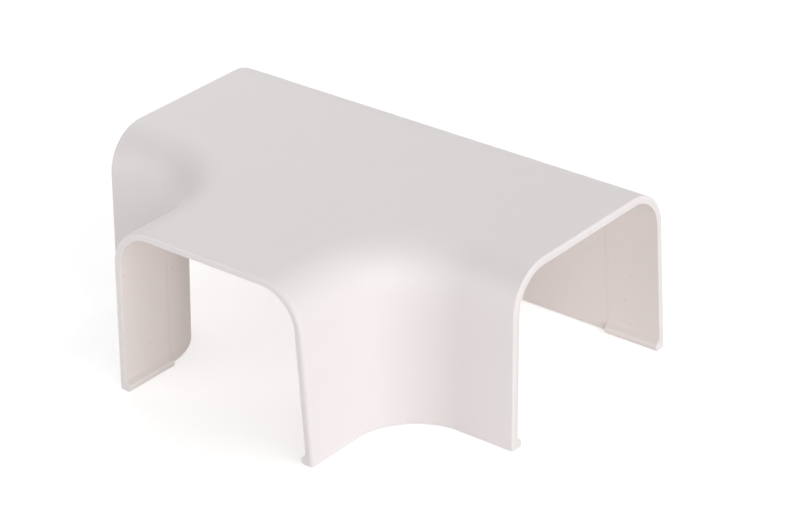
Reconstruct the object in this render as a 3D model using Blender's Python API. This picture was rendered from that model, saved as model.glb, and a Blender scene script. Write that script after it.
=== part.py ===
"""A tee cover for 60 x 45 mm cable trunking: one thin moulded shell, open underneath and at its three ends.

The run lies along X and the branch leaves it towards -Y. Z is up, the feet of the snap lips stand on
z = 0, and the origin is under the middle of the part's outline. Lengths are in metres.
"""

import math

import bmesh
import bpy
from mathutils import Vector

MM = 0.001

# Driving dimensions
CHANNEL_WIDTH = 60.0 * MM  # clear width between two facing walls, at their feet
CHANNEL_HEIGHT = 45.8 * MM  # clear height under the roof
WALL = 2.1 * MM
DRAFT = math.radians(2.4)  # the walls lean outwards towards their feet
EDGE_RADIUS = 12.0 * MM  # outer round between the roof and a wall
CORNER_RADIUS = 18.0 * MM  # outer face of the corners between run and branch, in plan, at the foot
SOCKET_LENGTH = 16.3 * MM  # straight stretch at each open end, which takes the trunking
LIP_DEPTH = 1.5 * MM  # how far a snap lip stands in from its wall
LIP_HEIGHT = 3.5 * MM  # where the ramp above the nose leaves the wall
LIP_NOSE = 1.2 * MM  # upright front of the lip
LIP_CHAMFER = 0.9 * MM  # under the nose
RIM_LIFT = 0.3 * MM  # the rim between the lips stops this far above their feet
END_ROUND = 1.1 * MM  # outer edge of each end face

# Facets
EDGE_STEPS = 11
CORNER_STEPS = 20
END_STEPS = 3
SHARP_ANGLE = math.radians(30)
WELD = 0.001 * MM

# Shell
SHELL_COLOUR = (0.86, 0.84, 0.83, 1.0)
SHELL_ROUGHNESS = 0.38

# Sizes that follow
WALL_ACROSS = WALL / math.cos(DRAFT)  # the leaning wall, measured level
WIDTH = CHANNEL_WIDTH + 2 * WALL_ACROSS
HEIGHT = CHANNEL_HEIGHT + WALL
CORNER_END = WIDTH / 2 + CORNER_RADIUS  # from either centre line to where a corner turns straight
RUN_END = CORNER_END + SOCKET_LENGTH
BRANCH_REACH = CORNER_RADIUS + SOCKET_LENGTH
RUN_LINE = BRANCH_REACH / 2  # the run's centre line, in Y
BACK_FOOT = RUN_LINE + WIDTH / 2
FRONT_FOOT = RUN_LINE - WIDTH / 2
CORNER_CENTRE = FRONT_FOOT - CORNER_RADIUS
BRANCH_END = FRONT_FOOT - BRANCH_REACH

X, Y, Z = range(3)


def wall_section(lipped):
    """A wall's outline from the roof's top, round the foot, to the roof's underside.

    Each point is (distance in from the outer foot, height).
    """
    lean = math.tan(DRAFT)
    centre_height = HEIGHT - EDGE_RADIUS
    centre_in = (EDGE_RADIUS + centre_height * math.sin(DRAFT)) / math.cos(DRAFT)

    def edge_arc(radius):
        turn = (math.pi / 2 - DRAFT) / EDGE_STEPS
        angles = [math.pi / 2 - turn * step for step in range(EDGE_STEPS + 1)]
        return [
            (centre_in - radius * math.cos(angle), centre_height + radius * math.sin(angle))
            for angle in angles
        ]

    if lipped:
        nose = WALL_ACROSS + LIP_DEPTH
        foot = [
            (0.0, 0.0),
            (nose - LIP_CHAMFER, 0.0),
            (nose, LIP_CHAMFER),
            (nose, LIP_CHAMFER + LIP_NOSE),
        ]
    else:
        foot = [
            (RIM_LIFT * lean, RIM_LIFT),
            (RIM_LIFT * lean + WALL_ACROSS, RIM_LIFT),
        ]
    ramp_top = (LIP_HEIGHT * lean + WALL_ACROSS, LIP_HEIGHT)
    return edge_arc(EDGE_RADIUS) + foot + [ramp_top] + edge_arc(EDGE_RADIUS - WALL)[::-1]


def draw_section(bm, lipped, foot, inward):
    """Draws the section as a chain of edges, with its outer foot above a point of the plan.

    The vertices of the outer skin are marked in the layer "outer", which the sweeps carry along.
    """
    foot, inward = Vector((*foot, 0.0)), Vector((*inward, 0.0))
    verts = [
        bm.verts.new(foot + inward * across + Vector((0.0, 0.0, height)))
        for across, height in wall_section(lipped)
    ]
    outer = bm.verts.layers.int["outer"]
    outer_foot = EDGE_STEPS + 1
    for vert in verts[: outer_foot + 1]:
        vert[outer] = 1
    edges = [bm.edges.new(pair) for pair in zip(verts, verts[1:])]
    return verts, edges


def sweep_straight(bm, lipped, foot, inward, travel):
    edges = draw_section(bm, lipped, foot, inward)[1]
    made = bmesh.ops.extrude_edge_only(bm, edges=edges)["geom"]
    far = [part for part in made if isinstance(part, bmesh.types.BMVert)]
    bmesh.ops.translate(bm, verts=far, vec=(*travel, 0.0))


def sweep_corner(bm, side):
    """Turns the plain wall from the run's front into the branch, round the hollow corner."""
    verts, edges = draw_section(bm, False, (side * CORNER_END, FRONT_FOOT), (0.0, 1.0))
    bmesh.ops.spin(
        bm,
        geom=verts + edges,
        cent=(side * CORNER_END, CORNER_CENTRE, 0.0),
        axis=(0.0, 0.0, side),
        angle=math.pi / 2,
        steps=CORNER_STEPS,
    )


def sweep_walls(bm):
    for side in (1, -1):
        into_corner = (-side * SOCKET_LENGTH, 0.0)
        sweep_straight(bm, True, (side * RUN_END, BACK_FOOT), (0.0, -1.0), into_corner)
        sweep_straight(bm, True, (side * RUN_END, FRONT_FOOT), (0.0, 1.0), into_corner)
        sweep_corner(bm, side)
        to_end = (0.0, -SOCKET_LENGTH)
        sweep_straight(bm, True, (side * WIDTH / 2, CORNER_CENTRE), (-side, 0.0), to_end)
    between_lips = (2 * CORNER_END, 0.0)
    sweep_straight(bm, False, (-CORNER_END, BACK_FOOT), (0.0, -1.0), between_lips)
    bmesh.ops.remove_doubles(bm, verts=bm.verts, dist=WELD)


def on_plane(vert, axis, place):
    return abs(vert.co[axis] - place) < WELD


def cap(bm, axis, place):
    """Closes the outlines that lie open in a plane across the given axis."""
    edges = [
        edge
        for edge in bm.edges
        if len(edge.link_faces) < 2 and all(on_plane(vert, axis, place) for vert in edge.verts)
    ]
    return bmesh.ops.edgeloop_fill(bm, edges=edges)["faces"]


def cap_end(bm, axis, place):
    """Joins the two legs of an open end across the roof, and closes its U-shaped face."""
    for height in (HEIGHT, HEIGHT - WALL):
        tops = [v for v in bm.verts if on_plane(v, axis, place) and on_plane(v, Z, height)]
        bm.edges.new(tops)
    return cap(bm, axis, place)


def round_ends(bm, end_faces):
    """Softens the outer edge of each end face, from foot to foot."""
    outer = bm.verts.layers.int["outer"]
    edges = [
        edge for face in end_faces for edge in face.edges if all(vert[outer] for vert in edge.verts)
    ]
    bmesh.ops.bevel(
        bm,
        geom=edges,
        offset=END_ROUND,
        segments=END_STEPS,
        profile=0.5,
        affect="EDGES",
        clamp_overlap=True,
        material=-1,
    )


def shell_material():
    material = bpy.data.materials.new("white_pvc")
    material.use_nodes = True
    shader = material.node_tree.nodes["Principled BSDF"]
    shader.inputs["Base Color"].default_value = SHELL_COLOUR
    shader.inputs["Roughness"].default_value = SHELL_ROUGHNESS
    shader.inputs["Metallic"].default_value = 0.0
    return material


def make_tee_cover():
    bm = bmesh.new()
    bm.verts.layers.int.new("outer")
    sweep_walls(bm)
    ends = cap_end(bm, X, RUN_END) + cap_end(bm, X, -RUN_END) + cap_end(bm, Y, BRANCH_END)
    cap(bm, Z, HEIGHT)
    cap(bm, Z, HEIGHT - WALL)
    for axis, place in ((X, CORNER_END), (X, -CORNER_END), (Y, CORNER_CENTRE)):
        cap(bm, axis, place)
    bmesh.ops.recalc_face_normals(bm, faces=bm.faces)
    round_ends(bm, ends)

    mesh = bpy.data.meshes.new("tee_cover")
    bm.to_mesh(mesh)
    bm.free()
    mesh.shade_smooth()
    mesh.set_sharp_from_angle(angle=SHARP_ANGLE)
    mesh.materials.append(shell_material())
    cover = bpy.data.objects.new("tee_cover", mesh)
    bpy.context.scene.collection.objects.link(cover)
    return cover


def main():
    for old in list(bpy.data.objects):
        bpy.data.objects.remove(old, do_unlink=True)
    make_tee_cover()


main()
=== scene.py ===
"""Looks for the tee cover: its moulded PVC shell and finish, a pale studio and the camera."""

import math

import bmesh
import bpy
from mathutils import Matrix, Vector


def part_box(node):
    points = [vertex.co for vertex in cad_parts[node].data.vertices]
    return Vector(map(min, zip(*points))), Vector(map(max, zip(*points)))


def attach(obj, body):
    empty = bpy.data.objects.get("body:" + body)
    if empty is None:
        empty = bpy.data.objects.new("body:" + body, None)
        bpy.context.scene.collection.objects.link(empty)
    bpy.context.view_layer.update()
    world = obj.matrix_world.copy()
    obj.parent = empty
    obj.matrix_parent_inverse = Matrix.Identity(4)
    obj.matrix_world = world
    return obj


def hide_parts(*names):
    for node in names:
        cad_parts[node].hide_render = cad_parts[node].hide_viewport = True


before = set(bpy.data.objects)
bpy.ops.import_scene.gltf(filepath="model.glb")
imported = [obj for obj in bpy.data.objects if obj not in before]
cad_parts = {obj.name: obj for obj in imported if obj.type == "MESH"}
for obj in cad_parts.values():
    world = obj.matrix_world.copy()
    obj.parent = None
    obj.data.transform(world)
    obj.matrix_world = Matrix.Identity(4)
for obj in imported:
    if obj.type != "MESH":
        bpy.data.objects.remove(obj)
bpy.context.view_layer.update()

MM = 0.001
X, Y, Z = range(3)
# the inside's finish is painted lighter (painted glow) and the ends' finish darker (painted shade)
OUTSIDE, INSIDE, END = range(3)  # the moulding's finishes

# The moulding's outline in plan comes from the frame
LOW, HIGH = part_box("tee_cover")
RUN_END = HIGH.x
BACK_FOOT = HIGH.y
BRANCH_END = LOW.y
HEIGHT = HIGH.z

# Section of the moulding
CHANNEL_WIDTH = 60.0 * MM
WALL = 2.1 * MM
DRAFT = math.radians(2.4)
EDGE_RADIUS = 12.0 * MM
CORNER_RADIUS = 18.0 * MM
LIP_DEPTH = 1.5 * MM
LIP_HEIGHT = 3.1 * MM
LIP_NOSE = 1.25 * MM
LIP_CHAMFER = 0.55 * MM
RIM_LIFT = 0.3 * MM
KNEE = 1.1 * MM  # height on the outer face above which lipped and plain walls are the same
LIP_TOP = 4.2 * MM  # the same on the inner face

# Rounds that a mould leaves on its edges
END_ROUND = 0.85 * MM  # outer edge of an end face, as far as it goes in across the wall
END_REACH = 0.5 * MM  # and along it
END_BREAK = 0.14 * MM  # inner edge and underside of an end face
TOE_ROUND = 0.3 * MM
RIM_ROUND = 0.12 * MM
HEEL_ROUND = 0.6 * MM  # under the lip
NOSE_ROUND = 0.5 * MM
RAMP_ROUND = 0.9 * MM  # hollow between the lip and its wall

# The step of the mould's insert inside each socket, where the lips begin
STEP_WIDTH = 0.15 * MM
STEP_DEPTH = 0.05 * MM
STEP_RISE = 3.0 * MM  # how far the inner face takes to rise to that step

# Facets
EDGE_STEPS = 24
CORNER_STEPS = 48
LIP_STEPS = 5
END_STEPS = 6
SHARP_ANGLE = math.radians(40)
FACING = 0.25  # cosine past which a face counts as looking at a thing
WELD = 0.001 * MM

# Sizes that follow
LEAN = math.tan(DRAFT)
WALL_ACROSS = WALL / math.cos(DRAFT)
WIDTH = CHANNEL_WIDTH + 2 * WALL_ACROSS
CORNER_END = WIDTH / 2 + CORNER_RADIUS
SOCKET_LENGTH = RUN_END - CORNER_END
RUN_LINE = BACK_FOOT - WIDTH / 2
FRONT_FOOT = RUN_LINE - WIDTH / 2
CORNER_CENTRE = FRONT_FOOT - CORNER_RADIUS


def foot_corners(lipped, outer, inner):
    """Corners of a wall's foot, from its outer face to its inner one.

    Each is (distance in, height, radius). outer and inner say how far the two faces are drawn
    into the wall, as they are near an end.
    """
    face_in = outer / math.cos(DRAFT)
    back_in = WALL_ACROSS - inner / math.cos(DRAFT)
    base = max(inner, 0.0)
    if lipped:
        nose = back_in + LIP_DEPTH
        foot = [
            (face_in + base * LEAN, base, TOE_ROUND),
            (nose - LIP_CHAMFER, base, HEEL_ROUND),
            (nose, LIP_CHAMFER, NOSE_ROUND),
            (nose, LIP_CHAMFER + LIP_NOSE, NOSE_ROUND),
            (back_in + LIP_HEIGHT * LEAN, LIP_HEIGHT, RAMP_ROUND),
        ]
    else:
        foot = [
            (RIM_LIFT * LEAN, RIM_LIFT, RIM_ROUND),
            (RIM_LIFT * LEAN + WALL_ACROSS, RIM_LIFT, RIM_ROUND),
        ]
    knee = (face_in + KNEE * LEAN, KNEE, 0.0)
    lip_top = (back_in + LIP_TOP * LEAN, LIP_TOP, 0.0)
    return [knee] + foot + [lip_top]


def roof_corners(outer, inner):
    """The outer and the inner corner between roof and wall, before their rounding."""
    top = HEIGHT - outer
    under = HEIGHT - WALL + inner
    face_in = outer / math.cos(DRAFT)
    back_in = WALL_ACROSS - inner / math.cos(DRAFT)
    outside = (face_in + top * LEAN, top, EDGE_RADIUS - outer)
    inside = (back_in + under * LEAN, under, EDGE_RADIUS - WALL + inner)
    return outside, inside


def roof_edge():
    """How far in from the outer foot the flat roof begins."""
    centre_height = HEIGHT - EDGE_RADIUS
    return (EDGE_RADIUS + centre_height * math.sin(DRAFT)) / math.cos(DRAFT)


def verts_of(edges):
    """The vertices of some edges, each once and in a fixed order, so that every run is the same."""
    return list(dict.fromkeys(vert for edge in edges for vert in edge.verts))


def round_corner(bm, vert, radius, steps):
    """Rounds one corner of a wire outline."""
    first, second = (edge.other_vert(vert).co - vert.co for edge in vert.link_edges)
    bmesh.ops.bevel(
        bm,
        geom=[vert],
        offset=radius / math.tan(first.angle(second) / 2),
        segments=steps,
        profile=0.5,
        affect="VERTICES",
        clamp_overlap=False,
        material=-1,
    )


def draw_outline(bm, corners, closed):
    """Draws corners, each (point, radius), as a wire outline with its rounds, for its edges."""
    before = set(bm.edges)
    verts = [bm.verts.new(point) for point, radius in corners]
    pairs = list(zip(verts, verts[1:]))
    if closed:
        pairs.append((verts[-1], verts[0]))
    for pair in pairs:
        bm.edges.new(pair)
    for vert, (point, radius) in zip(verts, corners):
        if radius:
            steps = EDGE_STEPS if radius > RAMP_ROUND else LIP_STEPS
            round_corner(bm, vert, radius, steps)
    drawn = [edge for edge in bm.edges if edge not in before]
    bmesh.ops.remove_doubles(bm, verts=verts_of(drawn), dist=WELD)
    return [edge for edge in bm.edges if edge not in before]


def place(corner, foot, inward):
    """A section corner (distance in, height, radius) as a point over the plan, with its radius."""
    across, height, radius = corner
    return Vector((*foot, height)) + Vector((*inward, 0.0)) * across, radius


def draw_wall(bm, foot, inward):
    """The plain wall's open outline, from the roof's top round the rim to the roof's underside."""
    outside, inside = roof_corners(0.0, 0.0)
    start, end = (roof_edge(), HEIGHT, 0.0), (roof_edge(), HEIGHT - WALL, 0.0)
    corners = [start, outside] + foot_corners(False, 0.0, 0.0) + [inside, end]
    return draw_outline(bm, [place(corner, foot, inward) for corner in corners], closed=False)


def draw_socket(bm, middle, across, outer, inner):
    """The closed U of an open end: two lipped legs and the roof between them."""
    outside, inside = roof_corners(outer, inner)
    leg = [outside] + foot_corners(True, outer, inner) + [inside]
    left_foot = [m - a * WIDTH / 2 for m, a in zip(middle, across)]
    right_foot = [m + a * WIDTH / 2 for m, a in zip(middle, across)]
    left = [place(corner, left_foot, across) for corner in leg]
    right = [place(corner, right_foot, [-a for a in across]) for corner in leg]
    return draw_outline(bm, left + right[::-1], closed=True)


def quarter_round(reach, steps):
    """Places along a quarter round, measured in from the end face."""
    return [reach * (1 - math.cos(math.pi / 2 * step / steps)) for step in range(steps + 1)]


def drawn_in(depth, reach, distance):
    """How far a quarter round draws a face in, at a distance from the end face."""
    left = max(1 - distance / reach, 0.0)
    return depth * (1 - math.sqrt(1 - left**2))


def socket_stations():
    """The places where an open end's outline is drawn: (distance in, outer, inner)."""
    stations = []
    for distance in quarter_round(END_REACH, END_STEPS):
        outer = drawn_in(END_ROUND, END_REACH, distance)
        inner = drawn_in(END_BREAK, END_BREAK, distance)
        stations.append((distance, outer, inner))
    stations.append((SOCKET_LENGTH - STEP_WIDTH - STEP_RISE, 0.0, 0.0))
    stations.append((SOCKET_LENGTH - STEP_WIDTH, 0.0, -STEP_DEPTH))
    stations.append((SOCKET_LENGTH, 0.0, 0.0))
    return stations


def loft_socket(bm, middle, outward, across):
    """Builds an open end from its rounded end face inwards, up to where its lips begin."""
    previous = None
    for distance, outer, inner in socket_stations():
        at = [m - o * distance for m, o in zip(middle, outward)]
        drawn = draw_socket(bm, at, across, outer, inner)
        if previous is None:
            bmesh.ops.edgeloop_fill(bm, edges=drawn)
        else:
            bmesh.ops.bridge_loops(bm, edges=previous + drawn)
        previous = drawn


def on_plane(vert, axis, where):
    return abs(vert.co[axis] - where) < WELD


def cap(bm, axis, where):
    """Closes the outlines that lie open in a plane across the given axis."""
    edges = [
        edge
        for edge in bm.edges
        if len(edge.link_faces) < 2 and all(on_plane(vert, axis, where) for vert in edge.verts)
    ]
    bmesh.ops.edgeloop_fill(bm, edges=edges)


def sweep_back_wall(bm):
    edges = draw_wall(bm, (-CORNER_END, BACK_FOOT), (0.0, -1.0))
    made = bmesh.ops.extrude_edge_only(bm, edges=edges)["geom"]
    far = [part for part in made if isinstance(part, bmesh.types.BMVert)]
    bmesh.ops.translate(bm, verts=far, vec=(2 * CORNER_END, 0.0, 0.0))


def sweep_corner(bm, side):
    """Turns the plain wall from the run's front into the branch, round the hollow corner."""
    edges = draw_wall(bm, (side * CORNER_END, FRONT_FOOT), (0.0, 1.0))
    bmesh.ops.spin(
        bm,
        geom=verts_of(edges) + edges,
        cent=(side * CORNER_END, CORNER_CENTRE, 0.0),
        axis=(0.0, 0.0, side),
        angle=math.pi / 2,
        steps=CORNER_STEPS,
    )


def closes_an_end(face):
    """Whether a face lies flat in one of the three end planes."""
    return any(
        all(on_plane(vert, axis, where) for vert in face.verts)
        for axis, where in ((X, RUN_END), (X, -RUN_END), (Y, BRANCH_END))
    )


def looks_inwards(face):
    """Whether a face is of the inner skin, and looks at the middle of the run or the branch."""
    centre = face.calc_center_median()
    middles = (
        Vector((centre.x, RUN_LINE, HEIGHT / 2)),
        Vector((0.0, min(centre.y, RUN_LINE), HEIGHT / 2)),
    )
    nearest = min(middles, key=lambda middle: (middle - centre).length)
    return face.normal.dot((nearest - centre).normalized()) > FACING


def finish_of(face):
    if closes_an_end(face):
        return END
    return INSIDE if looks_inwards(face) else OUTSIDE


def moulding_mesh():
    bm = bmesh.new()
    for side in (1, -1):
        loft_socket(bm, (side * RUN_END, RUN_LINE), (side, 0.0), (0.0, 1.0))
        sweep_corner(bm, side)
    loft_socket(bm, (0.0, BRANCH_END), (0.0, -1.0), (1.0, 0.0))
    sweep_back_wall(bm)
    bmesh.ops.remove_doubles(bm, verts=bm.verts, dist=WELD)
    cap(bm, Z, HEIGHT)
    cap(bm, Z, HEIGHT - WALL)
    for axis, where in ((X, CORNER_END), (X, -CORNER_END), (Y, CORNER_CENTRE)):
        cap(bm, axis, where)
    bmesh.ops.recalc_face_normals(bm, faces=bm.faces)
    for face in bm.faces:
        face.material_index = finish_of(face)
    mesh = bpy.data.meshes.new("tee_moulding")
    bm.to_mesh(mesh)
    bm.free()
    mesh.shade_smooth()
    mesh.set_sharp_from_angle(angle=SHARP_ANGLE)
    return mesh


class Signal:
    """A value that a shader node gives, so that shader maths is written as plain arithmetic."""

    def __init__(self, recipe, socket):
        self.recipe = recipe
        self.socket = socket

    def _math(self, operation, *terms):
        return self.recipe.node("ShaderNodeMath", {"operation": operation}, dict(enumerate(terms)))

    def __add__(self, other):
        return self._math("ADD", self, other)

    __radd__ = __add__

    def __mul__(self, other):
        return self._math("MULTIPLY", self, other)

    __rmul__ = __mul__

    def __sub__(self, other):
        return self._math("SUBTRACT", self, other)

    def __rsub__(self, other):
        return self._math("SUBTRACT", other, self)

    def __gt__(self, limit):
        return self._math("GREATER_THAN", self, limit)

    def __lt__(self, limit):
        return self._math("LESS_THAN", self, limit)

    def __abs__(self):
        return self._math("ABSOLUTE", self)

    def between(self, low, high):
        """0 below low, 1 above high, and a smooth rise from one to the other."""
        settings = {"interpolation_type": "SMOOTHSTEP"}
        return self.recipe.node("ShaderNodeMapRange", settings, {0: self, 1: low, 2: high})


class Recipe:
    """The nodes of one material or of the world."""

    def __init__(self, tree):
        self.tree = tree
        tree.nodes.clear()

    def node(self, kind, settings=None, inputs=None, output=0):
        made = self.tree.nodes.new(kind)
        for name, value in (settings or {}).items():
            setattr(made, name, value)
        for name, value in (inputs or {}).items():
            if isinstance(value, Signal):
                self.tree.links.new(value.socket, made.inputs[name])
            else:
                made.inputs[name].default_value = value
        return Signal(self, made.outputs[output]) if made.outputs else made

    def noise(self, coordinates, scale, detail):
        inputs = {"Vector": coordinates, "Scale": scale, "Detail": detail}
        return self.node("ShaderNodeTexNoise", None, inputs)

    def spots(self, coordinates, scale):
        """Spots scattered in space: the distance to the nearest, and a random number it carries."""
        inputs = {"Vector": coordinates, "Scale": scale}
        near = self.node("ShaderNodeTexVoronoi", None, inputs, output="Distance")
        return near, Signal(self, near.socket.node.outputs["Color"])

    def parts(self, vector):
        """The three coordinates of a vector."""
        split = self.node("ShaderNodeSeparateXYZ", None, {"Vector": vector}).socket.node
        return [Signal(self, output) for output in split.outputs]

    def bump(self, height, strength, depth, under=None):
        inputs = {"Strength": strength, "Distance": depth, "Height": height}
        if under:
            inputs["Normal"] = under
        return self.node("ShaderNodeBump", None, inputs)

    def mix(self, factor, first, second):
        settings = {"data_type": "RGBA"}
        return self.node("ShaderNodeMix", settings, {0: factor, 6: first, 7: second}, output=2)


def new_material(name):
    material = bpy.data.materials.new(name)
    material.use_nodes = True
    return material, Recipe(material.node_tree)


# Finish of the plastic. Scales are in features to the metre.
CLOUD_SCALE, CLOUD_DETAIL = 24.0, 3.0
CLOUD_LOW, CLOUD_HIGH = 0.32, 0.68
PEEL_SCALE, PEEL_DETAIL = 260.0, 1.0
PEEL_STRENGTH, PEEL_DEPTH = 0.2, 0.05 * MM
GRAIN_SCALE, GRAIN_DETAIL = 2600.0, 2.0
GRAIN_STRENGTH, GRAIN_DEPTH = 0.25, 0.02 * MM
GLOSS_CHANGE = 0.06
PLASTIC_IOR = 1.5

# Specks in the plastic, which show on the inside
SPECK_SCALE = 230.0
SPECK_CORE, SPECK_RIM = 0.03, 0.065  # of the distance between two spots
SPECK_CHOICE = 0.5  # random number past which a spot is a speck
SPECK_COLOUR = (0.30, 0.27, 0.25, 1.0)

# A highlight painted as a pale band along the lips' edge: heights where it shows
HIGHLIGHT_LOW, HIGHLIGHT_FULL_LOW = 1.1 * MM, 1.5 * MM
HIGHLIGHT_FULL_HIGH, HIGHLIGHT_HIGH = 1.8 * MM, 2.1 * MM
LIP_PAINTED_HIGHLIGHT = (0.950, 0.905, 0.885, 1.0)

# A faint dark line along the step inside each end
LINE_FADE = 0.7 * MM  # how far from the step it has faded out
LINE_STRENGTH = 0.5
LINE_COLOUR = (0.840, 0.765, 0.738, 1.0)

# (name, warm tone, pale tone, roughness, how strong the specks show)
OUTER_FINISH = (
    "white_pvc",
    (0.832, 0.782, 0.778, 1.0),
    (0.842, 0.794, 0.790, 1.0),
    0.47,
    0.0,
)
# Inside: lighter and pinker than the outside, a painted glow standing in for light that comes
# through the thin wall
INNER_FINISH_PAINTED_GLOW = (
    "white_pvc_inside_painted_glow",
    (0.902, 0.826, 0.799, 1.0),
    (0.909, 0.836, 0.809, 1.0),
    0.52,
    0.35,
)
# Ends: darker and greyer than the outside, painted shade on the end faces
END_FINISH_PAINTED_SHADE = (
    "white_pvc_end_painted_shade",
    (0.795, 0.752, 0.749, 1.0),
    (0.805, 0.764, 0.761, 1.0),
    0.55,
    0.0,
)


def lip_highlight(across, along, height):
    """1 along the edge of the lips, where a highlight is painted; only the open ends have lips."""
    open_end = ((abs(across) > CORNER_END) + (along < CORNER_CENTRE)).between(0.0, 1.0)
    below = 1.0 - height.between(HIGHLIGHT_FULL_HIGH, HIGHLIGHT_HIGH)
    return open_end * height.between(HIGHLIGHT_LOW, HIGHLIGHT_FULL_LOW) * below


def step_line(across, along):
    """1 along the step where the sockets begin, fading out on both sides."""
    run_gap, branch_gap = abs(across) - CORNER_END, along - CORNER_CENTRE
    lines = [1.0 - abs(gap).between(0.0, LINE_FADE) for gap in (run_gap, branch_gap)]
    return lines[0] + lines[1]


def white_pvc(name, warm, pale, roughness, specks):
    """White moulded PVC: satin, with faint cloudiness and a fine moulded grain.

    The inside, which has specks, also has the line along its step and a painted highlight along the
    lips' edge.
    """
    material, recipe = new_material(name)
    here = recipe.node("ShaderNodeTexCoord", output="Object")
    cloud = recipe.noise(here, CLOUD_SCALE, CLOUD_DETAIL)
    tone = recipe.mix(cloud.between(CLOUD_LOW, CLOUD_HIGH), warm, pale)
    if specks:
        across, along, height = recipe.parts(here)
        near, choice = recipe.spots(here, SPECK_SCALE)
        speck = (1.0 - near.between(SPECK_CORE, SPECK_RIM)) * (choice > SPECK_CHOICE) * specks
        tone = recipe.mix(speck, tone, SPECK_COLOUR)
        tone = recipe.mix(step_line(across, along) * LINE_STRENGTH, tone, LINE_COLOUR)
        # painted highlight: a pale band along the lips' edge
        tone = recipe.mix(lip_highlight(across, along, height), tone, LIP_PAINTED_HIGHLIGHT)
    grain_noise = recipe.noise(here, GRAIN_SCALE, GRAIN_DETAIL)
    grain = recipe.bump(grain_noise, GRAIN_STRENGTH, GRAIN_DEPTH)
    peel_noise = recipe.noise(here, PEEL_SCALE, PEEL_DETAIL)
    peel = recipe.bump(peel_noise, PEEL_STRENGTH, PEEL_DEPTH, grain)
    shader = recipe.node(
        "ShaderNodeBsdfPrincipled",
        None,
        {
            "Base Color": tone,
            "Roughness": cloud * GLOSS_CHANGE + roughness,
            "IOR": PLASTIC_IOR,
            "Normal": peel,
        },
    )
    recipe.node("ShaderNodeOutputMaterial", None, {"Surface": shader})
    return material


def make_cover():
    cover = bpy.data.objects.new("tee_cover_moulding", moulding_mesh())
    bpy.context.scene.collection.objects.link(cover)
    for finish in (OUTER_FINISH, INNER_FINISH_PAINTED_GLOW, END_FINISH_PAINTED_SHADE):
        cover.data.materials.append(white_pvc(*finish))
    flat_faces = cover.modifiers.new("flat_faces", "WEIGHTED_NORMAL")
    flat_faces.keep_sharp = True
    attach(cover, "root")
    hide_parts("tee_cover")


# Studio. What is lifted is so only where it is seen as background, and lights nothing.
FLOOR_SIZE = 6.0
FLOOR_COLOUR = (0.86, 0.86, 0.86, 1.0)
FLOOR_LIFT = 0.5  # makes the lit floor white and leaves its shadows
FAR_LIFT = 0.4  # on top of that far from the part, where the lamps do not reach
FAR_FROM, FAR_PAST = 0.4, 0.7  # distances between which that comes in
WORLD_COLOUR = (1.0, 1.0, 1.0, 1.0)
WORLD_LIGHT = 0.16
SET_FLAG = 0.5  # a yes or no from a node is yes past this

# Softboxes: (name, azimuth, elevation, distance, power)
LAMP_SPREAD = 0.875  # a lamp's diameter for each metre between it and the part
NEAR_LAMP, FAR_LAMP = 0.9, 1.6
SOFTBOXES = (
    ("front_left", -30.0, 10.0, NEAR_LAMP, 3.24),
    ("front", 40.0, 10.0, FAR_LAMP, 5.8),
    ("front_right", 70.0, 10.0, FAR_LAMP, 12.1),
    ("right", 100.0, 35.0, FAR_LAMP, 8.2),
    ("back", 180.0, 35.0, FAR_LAMP, 6.0),
    ("left", 240.0, 35.0, NEAR_LAMP, 2.05),
)


def seen_directly(recipe):
    """1 for rays that show a thing as background: straight, or in a gloss or a clear part."""
    rays = [
        recipe.node("ShaderNodeLightPath", output=name)
        for name in ("Is Camera Ray", "Is Glossy Ray", "Is Transmission Ray")
    ]
    return (rays[0] + rays[1] + rays[2]) > SET_FLAG


def make_floor():
    bm = bmesh.new()
    bmesh.ops.create_grid(bm, x_segments=1, y_segments=1, size=FLOOR_SIZE / 2)
    mesh = bpy.data.meshes.new("floor")
    bm.to_mesh(mesh)
    bm.free()
    material, recipe = new_material("pale_floor")
    paper = recipe.node("ShaderNodeBsdfDiffuse", None, {"Color": FLOOR_COLOUR})
    here = recipe.node("ShaderNodeTexCoord", output="Object")
    away = recipe.node("ShaderNodeVectorMath", {"operation": "LENGTH"}, {0: here}, output="Value")
    lift = away.between(FAR_FROM, FAR_PAST) * FAR_LIFT + FLOOR_LIFT
    glow = recipe.node("ShaderNodeEmission", None, {"Strength": seen_directly(recipe) * lift})
    both = recipe.node("ShaderNodeAddShader", None, {0: paper, 1: glow})
    recipe.node("ShaderNodeOutputMaterial", None, {"Surface": both})
    mesh.materials.append(material)
    floor = bpy.data.objects.new("floor", mesh)
    bpy.context.scene.collection.objects.link(floor)


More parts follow.
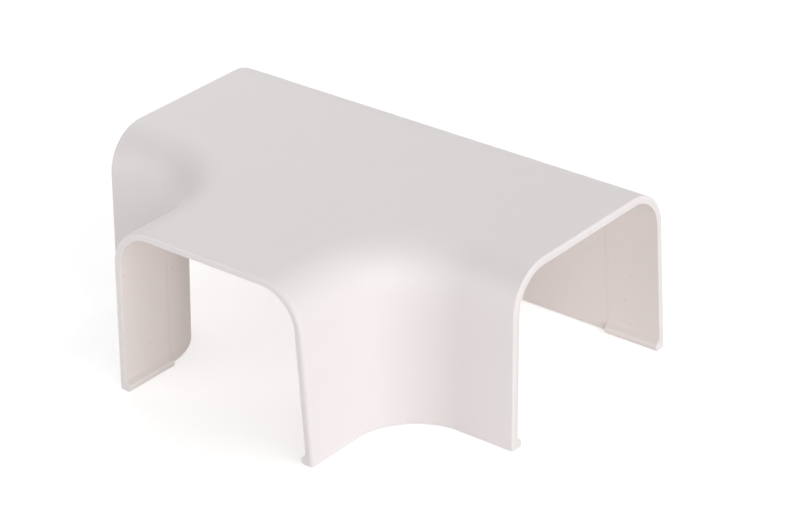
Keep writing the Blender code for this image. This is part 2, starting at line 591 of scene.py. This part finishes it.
def light_world():
    world = bpy.data.worlds.new("studio")
    world.use_nodes = True
    bpy.context.scene.world = world
    recipe = Recipe(world.node_tree)
    strength = seen_directly(recipe) * (1.0 - WORLD_LIGHT) + WORLD_LIGHT
    inputs = {"Color": WORLD_COLOUR, "Strength": strength}
    sky = recipe.node("ShaderNodeBackground", None, inputs)
    recipe.node("ShaderNodeOutputWorld", None, {"Surface": sky})


def direction(azimuth, elevation):
    """Unit vector towards a place round the part: azimuth 0 is in front, 90 to the right."""
    turn, rise = math.radians(azimuth), math.radians(elevation)
    return Vector(
        (math.sin(turn) * math.cos(rise), -math.cos(turn) * math.cos(rise), math.sin(rise))
    )


def softbox(name, azimuth, elevation, distance, power):
    lamp = bpy.data.lights.new(name, "AREA")
    lamp.shape = "DISK"
    lamp.size = LAMP_SPREAD * distance
    lamp.energy = power
    towards = direction(azimuth, elevation)
    holder = bpy.data.objects.new(name, lamp)
    holder.location = towards * distance + Vector((0.0, 0.0, HEIGHT / 2))
    holder.rotation_euler = towards.to_track_quat("Z", "Y").to_euler()
    bpy.context.scene.collection.objects.link(holder)


# Camera, as fitted to the edges of the part in the photograph
CAMERA_AZIMUTH = 40.16
CAMERA_ELEVATION = 27.93
CAMERA_ROLL = math.radians(-2.0)
CAMERA_DISTANCE = 780.1 * MM
CAMERA_LENS = 135.7
SENSOR_WIDTH = 36.0
AIM_ACROSS = 4.5 * MM  # from the run's centre line, along the picture's width
AIM_HEIGHT = 19.2 * MM


def place_camera():
    back = direction(CAMERA_AZIMUTH, CAMERA_ELEVATION)
    turn = math.radians(CAMERA_AZIMUTH)
    level = Vector((math.cos(turn), math.sin(turn), 0.0))
    upright = back.cross(level)
    right = level * math.cos(CAMERA_ROLL) + upright * math.sin(CAMERA_ROLL)
    aim = level * AIM_ACROSS + Vector((0.0, RUN_LINE, AIM_HEIGHT))
    camera = bpy.data.objects.new("camera", bpy.data.cameras.new("camera"))
    camera.data.lens = CAMERA_LENS
    camera.data.sensor_width = SENSOR_WIDTH
    axes = Matrix((right, back.cross(right), back)).transposed().to_4x4()
    camera.matrix_world = Matrix.Translation(aim + back * CAMERA_DISTANCE) @ axes
    bpy.context.scene.collection.objects.link(camera)
    bpy.context.scene.camera = camera


make_cover()
make_floor()
light_world()
for box in SOFTBOXES:
    softbox(*box)
place_camera()
bpy.context.scene.view_settings.view_transform = "Standard"
